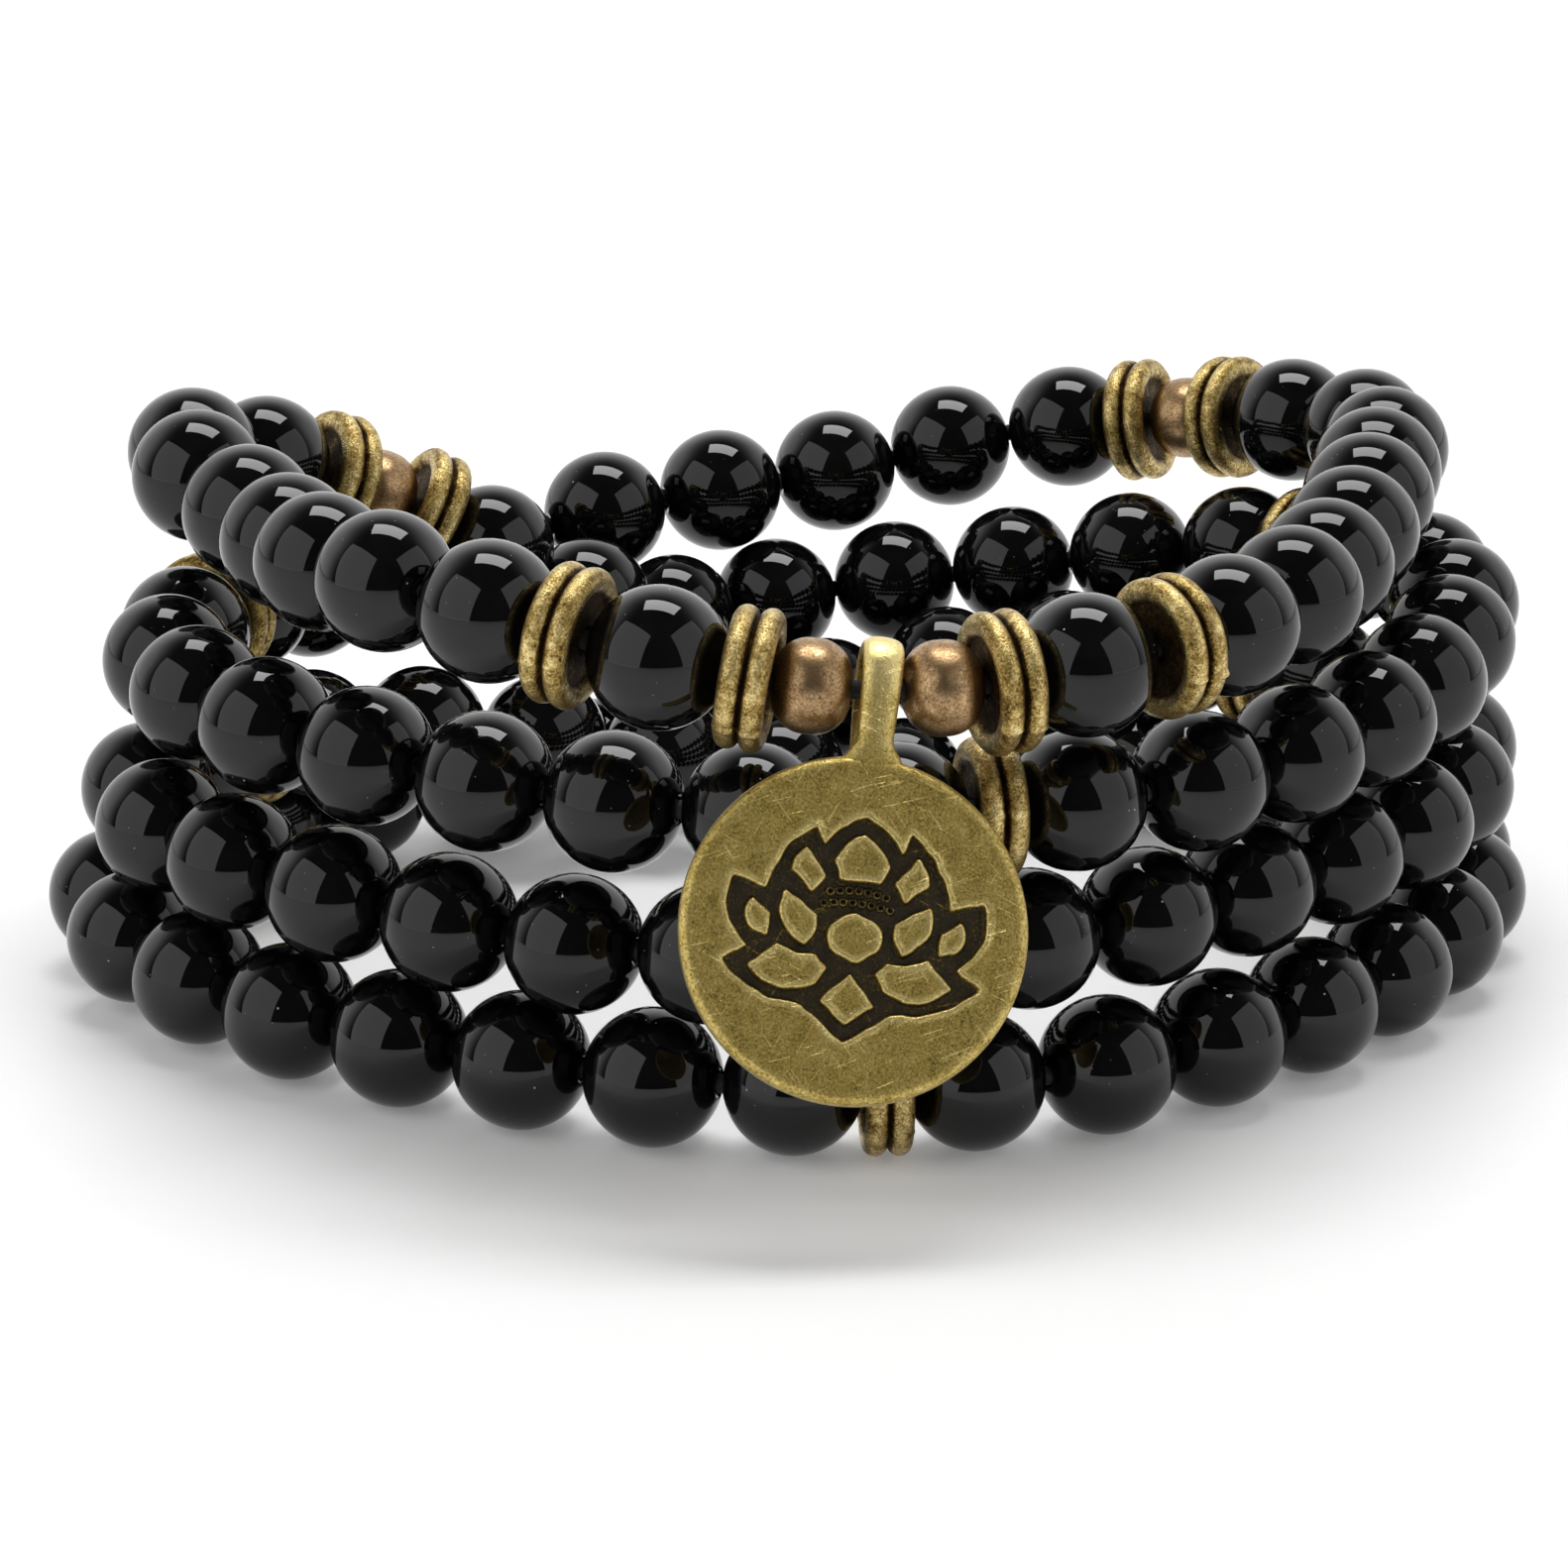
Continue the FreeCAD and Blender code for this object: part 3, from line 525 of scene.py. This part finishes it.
def place_about(middle, axis):
    """Matrix that puts a piece's hole along an axis, turned about it at random."""
    turn = Vector(axis).to_track_quat("Z", "Y").to_matrix()
    turn = turn @ Matrix.Rotation(draws.uniform(0, 2 * math.pi), 3, "Z")
    return Matrix.Translation(Vector(middle)) @ turn.to_4x4()


def outward_angle(place):
    """Angle about a piece's hole that faces out of the bracelet and a little down, or near it."""
    middle = place.translation
    outward = Vector((middle.x, middle.y, 0)).normalized() + Vector((0, 0, draws.uniform(-1.1, 0.5)))
    own = place.to_3x3().inverted() @ outward
    return math.atan2(own.y, own.x)


def islands(mesh):
    """The separate solids of a mesh, each as an array of points."""
    joined = bmesh.new()
    joined.from_mesh(mesh)
    bmesh.ops.remove_doubles(joined, verts=joined.verts, dist=1e-6)
    seen, groups = set(), []
    for start in joined.verts:
        if start in seen:
            continue
        seen.add(start)
        group, waiting = [], [start]
        while waiting:
            vert = waiting.pop()
            group.append(vert.co[:])
            for edge in vert.link_edges:
                other = edge.other_vert(vert)
                if other not in seen:
                    seen.add(other)
                    waiting.append(other)
        groups.append(np.array(group))
    joined.free()
    return groups


def bead_places(node):
    """Middle and string direction of each bead in a CAD group node."""
    places = []
    for points in islands(frame["nodes"][node].data):
        middle = (points.min(axis=0) + points.max(axis=0)) / 2
        for _ in range(3):
            away = points - middle
            reach = np.linalg.norm(away, axis=1, keepdims=True)
            middle = middle + (away - away / reach * BEAD_RADIUS * MM).mean(axis=0)
        places.append([middle, None])
    middles = np.array([place[0] for place in places])
    for number, place in enumerate(places):
        nearest = np.argsort(np.linalg.norm(middles - place[0], axis=1))[:3]
        ends = middles[nearest]
        place[1] = ends[1] - ends[0] if number in (0, len(places) - 1) else ends[1] - ends[2]
    return places


# ------------------------------------------------------------------ charm


def path_points(start, steps, mirror):
    """Points along lines and arcs through the lotus points."""
    points, here = [], Vector(start)
    for through, there in steps:
        there = Vector(there)
        if through is None:
            points += [here.lerp(there, step / 6) for step in range(6)]
        else:
            bulge = Vector(through) * 2 - (here + there) / 2
            for step in range(14):
                share = step / 14
                points.append(here * (1 - share) ** 2 + bulge * 2 * share * (1 - share) + there * share**2)
        here = there
    points.append(here)
    return [(point[0] * mirror, point[1]) for point in points]


def closed_outline(start, steps):
    """Right half and its mirror image, joined into one closed outline."""
    right = path_points(start, steps, 1)
    left = path_points(start, steps, -1)
    return np.array(right + left[-2:0:-1])


def distance_inside(spots, outline):
    """Distance of each spot from a closed outline, positive inside it."""
    ends = np.roll(outline, -1, axis=0)
    edge = ends - outline
    away = spots[:, None, :] - outline[None, :, :]
    length = (edge**2).sum(axis=1) + 1e-12
    share = np.clip((away * edge).sum(axis=2) / length, 0, 1)
    near = np.sqrt(((away - share[:, :, None] * edge) ** 2).sum(axis=2)).min(axis=1)
    above = (outline[:, 1] > spots[:, 1:2]) != (ends[:, 1] > spots[:, 1:2])
    rise = np.where(edge[:, 1] == 0, 1e-12, edge[:, 1])
    crossing = outline[:, 0] + edge[:, 0] * (spots[:, 1:2] - outline[:, 1]) / rise
    inside = (above & (spots[:, 0:1] < crossing)).sum(axis=1) % 2 == 1
    return np.where(inside, near, -near)


def petal_distance(spots, outline):
    """Distance inside a raised petal with rounded corners."""
    middle = outline.mean(axis=0)
    return distance_inside(spots, middle + (outline - middle) * PETAL_SHARE) + PETAL_GROWTH


def line_wobble(spots):
    """Unevenness of the cast lines at each spot."""
    places = [Vector((across, up, 0)) * WOBBLE_SCALE for across, up in spots]
    return np.array([noise.noise(place) for place in places]) * LINE_WOBBLE


def lotus_distance(spots):
    """Distance inside the sunk part of the lotus, in shares of the radius, and beside the seeds."""
    sunk = distance_inside(spots, closed_outline(LOTUS_START, LOTUS_OUTLINE)) - OUTLINE_INSET
    for start, steps in MIDDLE_ISLANDS:
        sunk = np.minimum(sunk, -petal_distance(spots, closed_outline(start, steps)))
    for start, steps in SIDE_ISLANDS:
        for mirror in (1, -1):
            outline = np.array(path_points(start, steps, mirror))
            sunk = np.minimum(sunk, -petal_distance(spots, outline))
    return sunk + line_wobble(spots)


def seed_height(spots):
    """Height of the two rows of small curled seeds, from 0 to 1."""
    height = np.zeros(len(spots))
    for level, half_width, count in SEED_ROWS:
        for across in np.linspace(-half_width, half_width, count):
            rise = level + SEED_RISE * (1 - (across / half_width) ** 2)
            away = spots - np.array([across, rise])
            ring = np.abs(np.hypot(away[:, 0], away[:, 1]) - SEED_RADIUS)
            open_side = np.clip((SEED_RADIUS * 0.5 - away[:, 1]) / SEED_RADIUS + 1, 0, 1)
            height = np.maximum(height, np.exp(-((ring / SEED_LINE) ** 2)) * open_side)
    return height


def smooth_step(value):
    """Smooth rise from 0 to 1."""
    value = np.clip(value, 0, 1)
    return value * value * (3 - 2 * value)


def disc_shape():
    """The charm's disc, with the lotus sunk into its front."""
    around = DISC_AROUND
    centre = np.linspace(CENTRE_RADIUS, 0.5, 60, endpoint=False)
    middle = np.linspace(0.5, LOTUS_REACH, 118, endpoint=False)
    flat = DISC_RADIUS - DISC_EDGE
    face = np.concatenate([centre, middle, np.linspace(LOTUS_REACH, flat, 9)])
    half = DISC_THICKNESS / 2
    front = [(radius, half) for radius in face]
    edge = arc((flat, half - DISC_EDGE), DISC_EDGE, 82, 0, 8)
    edge += arc((flat, DISC_EDGE - half), DISC_EDGE, 0, -90, 6)
    back = [(radius, -half) for radius in (6.0, 4.5, 3.0, 1.5, CENTRE_RADIUS)]
    profile = np.array(front + edge + back)
    shape = lathe(profile, around, np.full(len(profile), 0.5))
    shape.faces = grid_faces(len(profile), around, False, True)
    flat_place = shape.points[:, :2] / DISC_RADIUS
    on_front = np.arange(len(shape.points)) < len(front) * around
    sunk = np.full(len(shape.points), -1.0)
    near = on_front & (np.abs(flat_place).max(axis=1) < LOTUS_BOX)
    sunk[near] = lotus_distance(flat_place[near])
    depth = smooth_step(sunk * DISC_RADIUS / RECESS_SLOPE + 0.35)
    lip = np.exp(-((sunk * DISC_RADIUS + LIP_OFFSET) / LIP_WIDTH) ** 2) * on_front
    seeds = np.where(near, seed_height(flat_place), 0.0) * depth
    reach = np.hypot(flat_place[:, 0], flat_place[:, 1])
    swell = smooth_step((-sunk * DISC_RADIUS) / SWELL_WIDTH) * (reach < SWELL_REACH) * near
    shape.points[:, 2] -= RECESS_DEPTH * depth
    shape.points[:, 2] += SEED_HEIGHT * seeds + LIP_HEIGHT * lip + SWELL_HEIGHT * swell
    rim = smooth_step((reach - RIM_START) / RIM_FADE)
    shape.wear = FACE_WEAR + RIM_WEAR * rim + LIP_WEAR * lip + RECESS_WEAR * depth + SEED_WEAR * seeds
    shape.wear = np.where(on_front, shape.wear, BACK_WEAR)
    for number, point in enumerate(shape.points):
        place = Vector(point)
        shape.points[number, 2] += 0.022 * noise.noise(place * 0.4) + 0.008 * noise.noise(place * 1.6)
    turned = np.stack([shape.points[:, 0], DISC_BACK - half - shape.points[:, 2],
                       shape.points[:, 1] + DISC_MIDDLE], axis=1)
    caps = [close_cap(turned, shape, 0, around, 1), close_cap(turned, shape, len(profile) - 1, around, -1)]
    return merge([Shape(turned, shape.faces, shape.wear)] + caps)


def close_cap(turned, shape, row, around, side):
    """Small fan of quads over the hole left at the middle of a face."""
    ring = turned[row * around:(row + 1) * around]
    middle = ring.mean(axis=0)
    points = np.concatenate([ring, middle + (ring - middle) * 0.02])
    faces = grid_faces(2, around, False, True)
    return Shape(points, faces[:, ::side], np.full(len(points), shape.wear[row * around]))


def loop_path():
    """Middle line of the loop's metal in the charm's side view, as (forward, up) points."""
    high = LOOP_TOP - LOOP_HALF_DEPTH
    low = LOOP_BOTTOM + LOOP_HALF_DEPTH
    points = arc((0, high), LOOP_HALF_DEPTH, 0, 180, 25)
    points += [(-LOOP_HALF_DEPTH, height) for height in np.linspace(high, low, 13)[1:-1]]
    points += arc((0, low), LOOP_HALF_DEPTH, 180, 280, 13)
    foot = LOOP_BOTTOM - LOOP_FOOT
    points += [(share * LOOP_HALF_DEPTH, foot + 0.3 * (1 - share)) for share in (0.5, 0.72, 0.88)]
    points += [(LOOP_HALF_DEPTH, height) for height in np.linspace(foot + 0.12, high, 27)[:-1]]
    return np.array(points)


def loop_shape():
    """The charm's loop: rounded metal, wider at the top, its foot spread over the disc's face."""
    path = loop_path()
    tangents = np.roll(path, -1, axis=0) - np.roll(path, 1, axis=0)
    tangents /= np.linalg.norm(tangents, axis=1, keepdims=True)
    outward = np.stack([tangents[:, 1], -tangents[:, 0]], axis=1)
    angles = np.arange(LOOP_AROUND) * (2 * math.pi / LOOP_AROUND)
    across = np.sign(np.cos(angles)) * np.abs(np.cos(angles)) ** LOOP_SQUARENESS
    thick = np.sign(np.sin(angles)) * np.abs(np.sin(angles)) ** LOOP_SQUARENESS
    points, wear = [], []
    for (forward, up), (out_forward, out_up) in zip(path, outward):
        rise = smooth_step((up - LOOP_BOTTOM) / (LOOP_TOP - LOOP_BOTTOM) * 1.3)
        half_width = (LOOP_WIDTH_LOW + (LOOP_WIDTH_TOP - LOOP_WIDTH_LOW) * rise) / 2
        spread = smooth_step((FOOT_TOP - up) / FOOT_FADE) * smooth_step(forward / LOOP_HALF_DEPTH) ** 2
        half_width += spread * FOOT_SPREAD
        band = LOOP_BAND * (1 - FOOT_THINNING * spread)
        for side, out in zip(across, thick):
            reach = out * band / 2
            points.append((side * half_width, -(forward + out_forward * reach), up + out_up * reach))
            # brighter towards the loop's top on its outer side: polish where it rubs, and a painted highlight
            polish_and_highlight = smooth_step((up + 1.0) / 2.4) * max(0.0, out)
            outside = max(0.0, out) * (1 - spread)
            wear.append(LOOP_WEAR + POLISH_AND_PAINTED_HIGHLIGHT * polish_and_highlight + OUTSIDE_WEAR * outside)
    return Shape(points, grid_faces(len(path), len(angles), True, True), wear)


def charm_matrix(joint):
    """The charm hangs square to its string and leans out at its lower edge."""
    along = -Vector(joint["axis"]).normalized()
    down = Vector((0, 0, -1))
    down = (down - along * down.dot(along)).normalized()
    front = down.cross(along)
    upward = -(down * math.cos(CHARM_LEAN) + front * math.sin(CHARM_LEAN))
    turn = Matrix((along, upward.cross(along), upward)).transposed()
    turn = turn @ Matrix.Rotation(CHARM_TURN, 3, "Y")
    return Matrix.Translation(Vector(joint["pos_m"])) @ turn.to_4x4()


# ------------------------------------------------------------------ the object

stone = stone_material()
spacer_brass = metal_material(
    "cast_antique_brass",
    [(0.08, (0.02, 0.01, 0.003)), (0.35, (0.11, 0.066, 0.02)), (0.58, (0.34, 0.23, 0.065)),
     (0.95, (0.9, 0.72, 0.33))],
    rough=(0.6, 0.22), grain_depth=0.05, mottling=0.9)
charm_brass = metal_material(
    "satin_antique_brass",
    [(0.08, (0.052, 0.043, 0.03)), (0.24, (0.11, 0.08, 0.03)), (0.5, (0.42, 0.305, 0.075)),
     (0.95, (0.9, 0.73, 0.31))],
    rough=(0.58, 0.28), grain_depth=0.035, mottling=0.6, with_scratches=True)
copper = metal_material(
    "worn_copper",
    [(0.05, (0.05, 0.03, 0.012)), (0.38, (0.22, 0.132, 0.06)), (0.66, (0.44, 0.29, 0.15)),
     (0.98, (0.68, 0.49, 0.28))],
    rough=(0.5, 0.24), grain_depth=0.01, mottling=0.5)
elastic = elastic_material()

bead = bead_shape()
spacers = {True: spacer_shape(KNOTTED_BORE), False: spacer_shape(BORE_RADIUS)}
barrel = barrel_shape()

for joint in frame["joints"]:
    name = joint["child"]
    if name == "lotus_charm":
        charm = merge([disc_shape(), loop_shape()])
        add_piece("lotus_disc_charm", [(charm, charm_matrix(joint))], charm_brass, name, name)
        continue
    place = place_about(joint["pos_m"], joint["axis"])
    if "spacer" in name:
        shape = cast_surface(spacers[name in KNOTTED_SPACERS], CAST_DENT, outward_angle(place))
        add_piece("cast_" + name, [(shape, place)], spacer_brass, name, name)
    elif "barrel" in name:
        shape = cast_surface(barrel, BARREL_DENT)
        add_piece("copper_" + name, [(shape, place)], copper, name, name)
    else:
        add_piece("stone_" + name, [(bead, place)], stone, name, name)

for name in sorted(frame["nodes"]):
    if name.endswith("_beads") or name.startswith("lower_beads"):
        placed = [(bead, place_about(middle, axis)) for middle, axis in bead_places(name)]
        body = frame["nodes"][name]["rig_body"]
        add_piece("stone_" + name, placed, stone, body, name)
    elif name.endswith("_elastic") or name.endswith("_knot"):
        for part in frame["nodes"][name].material_slots:
            part.material = elastic

# ------------------------------------------------------------------ floor, light and camera


def add_floor():
    """Plain white floor, wide enough to run out of every view."""
    mesh = bpy.data.meshes.new("paper_floor")
    reach = 3.0
    corners = [(-reach, -reach, 0), (reach, -reach, 0), (reach, reach, 0), (-reach, reach, 0)]
    mesh.from_pydata(corners, [], [(0, 1, 2, 3)])
    mesh.materials.append(floor_material())
    floor = bpy.data.objects.new("paper_floor", mesh)
    bpy.context.scene.collection.objects.link(floor)


def add_light(name, place, target, width, height, radiance):
    """A rectangular light that the camera doesn't see."""
    data = bpy.data.lights.new(name, "AREA")
    data.shape = "RECTANGLE"
    data.size = width
    data.size_y = height
    data.energy = radiance * math.pi * width * height
    lamp = bpy.data.objects.new(name, data)
    lamp.location = place
    lamp.rotation_euler = (Vector(target) - Vector(place)).to_track_quat("-Z", "Y").to_euler()
    lamp.visible_camera = False
    bpy.context.scene.collection.objects.link(lamp)


def set_world():
    """White behind the object and for the camera, dark in front and overhead."""
    world = bpy.data.worlds.new("studio")
    bpy.context.scene.world = world
    world.use_nodes = True
    tree = world.node_tree
    tree.nodes.clear()
    heading = add_node(tree, "TexCoord").outputs["Generated"]
    parts = add_node(tree, "SeparateXYZ", None, Vector=heading)
    back = between(tree, parts.outputs["Y"], -0.1, 0.45)
    low = between(tree, parts.outputs["Z"], 0.95, 0.45)
    glow = maths(tree, "MULTIPLY", back, low)
    glow = maths(tree, "ADD", maths(tree, "MULTIPLY", glow, 1.15), 0.05)
    seen = add_node(tree, "LightPath").outputs["Is Camera Ray"]
    strength = maths(tree, "MAXIMUM", glow, seen)
    light = add_node(tree, "Background", None, Color=(1, 1, 1, 1), Strength=strength)
    output = tree.nodes.new("ShaderNodeOutputWorld")
    tree.links.new(light.outputs[0], output.inputs["Surface"])


def add_camera():
    """The camera of the picture, a little above the object."""
    data = bpy.data.cameras.new("camera")
    data.lens = LENS
    data.sensor_width = SENSOR
    data.clip_start = 0.01
    data.dof.use_dof = False
    camera = bpy.data.objects.new("camera", data)
    camera.location = CAMERA_PLACE
    flat = math.cos(CAMERA_TILT)
    heading = Vector((math.sin(CAMERA_TURN) * flat, math.cos(CAMERA_TURN) * flat, -math.sin(CAMERA_TILT)))
    camera.rotation_euler = heading.to_track_quat("-Z", "Y").to_euler()
    bpy.context.scene.collection.objects.link(camera)
    bpy.context.scene.camera = camera


add_floor()
for light in LIGHTS:
    add_light(*light)
set_world()
add_camera()
bpy.context.scene.view_settings.view_transform = "Standard"
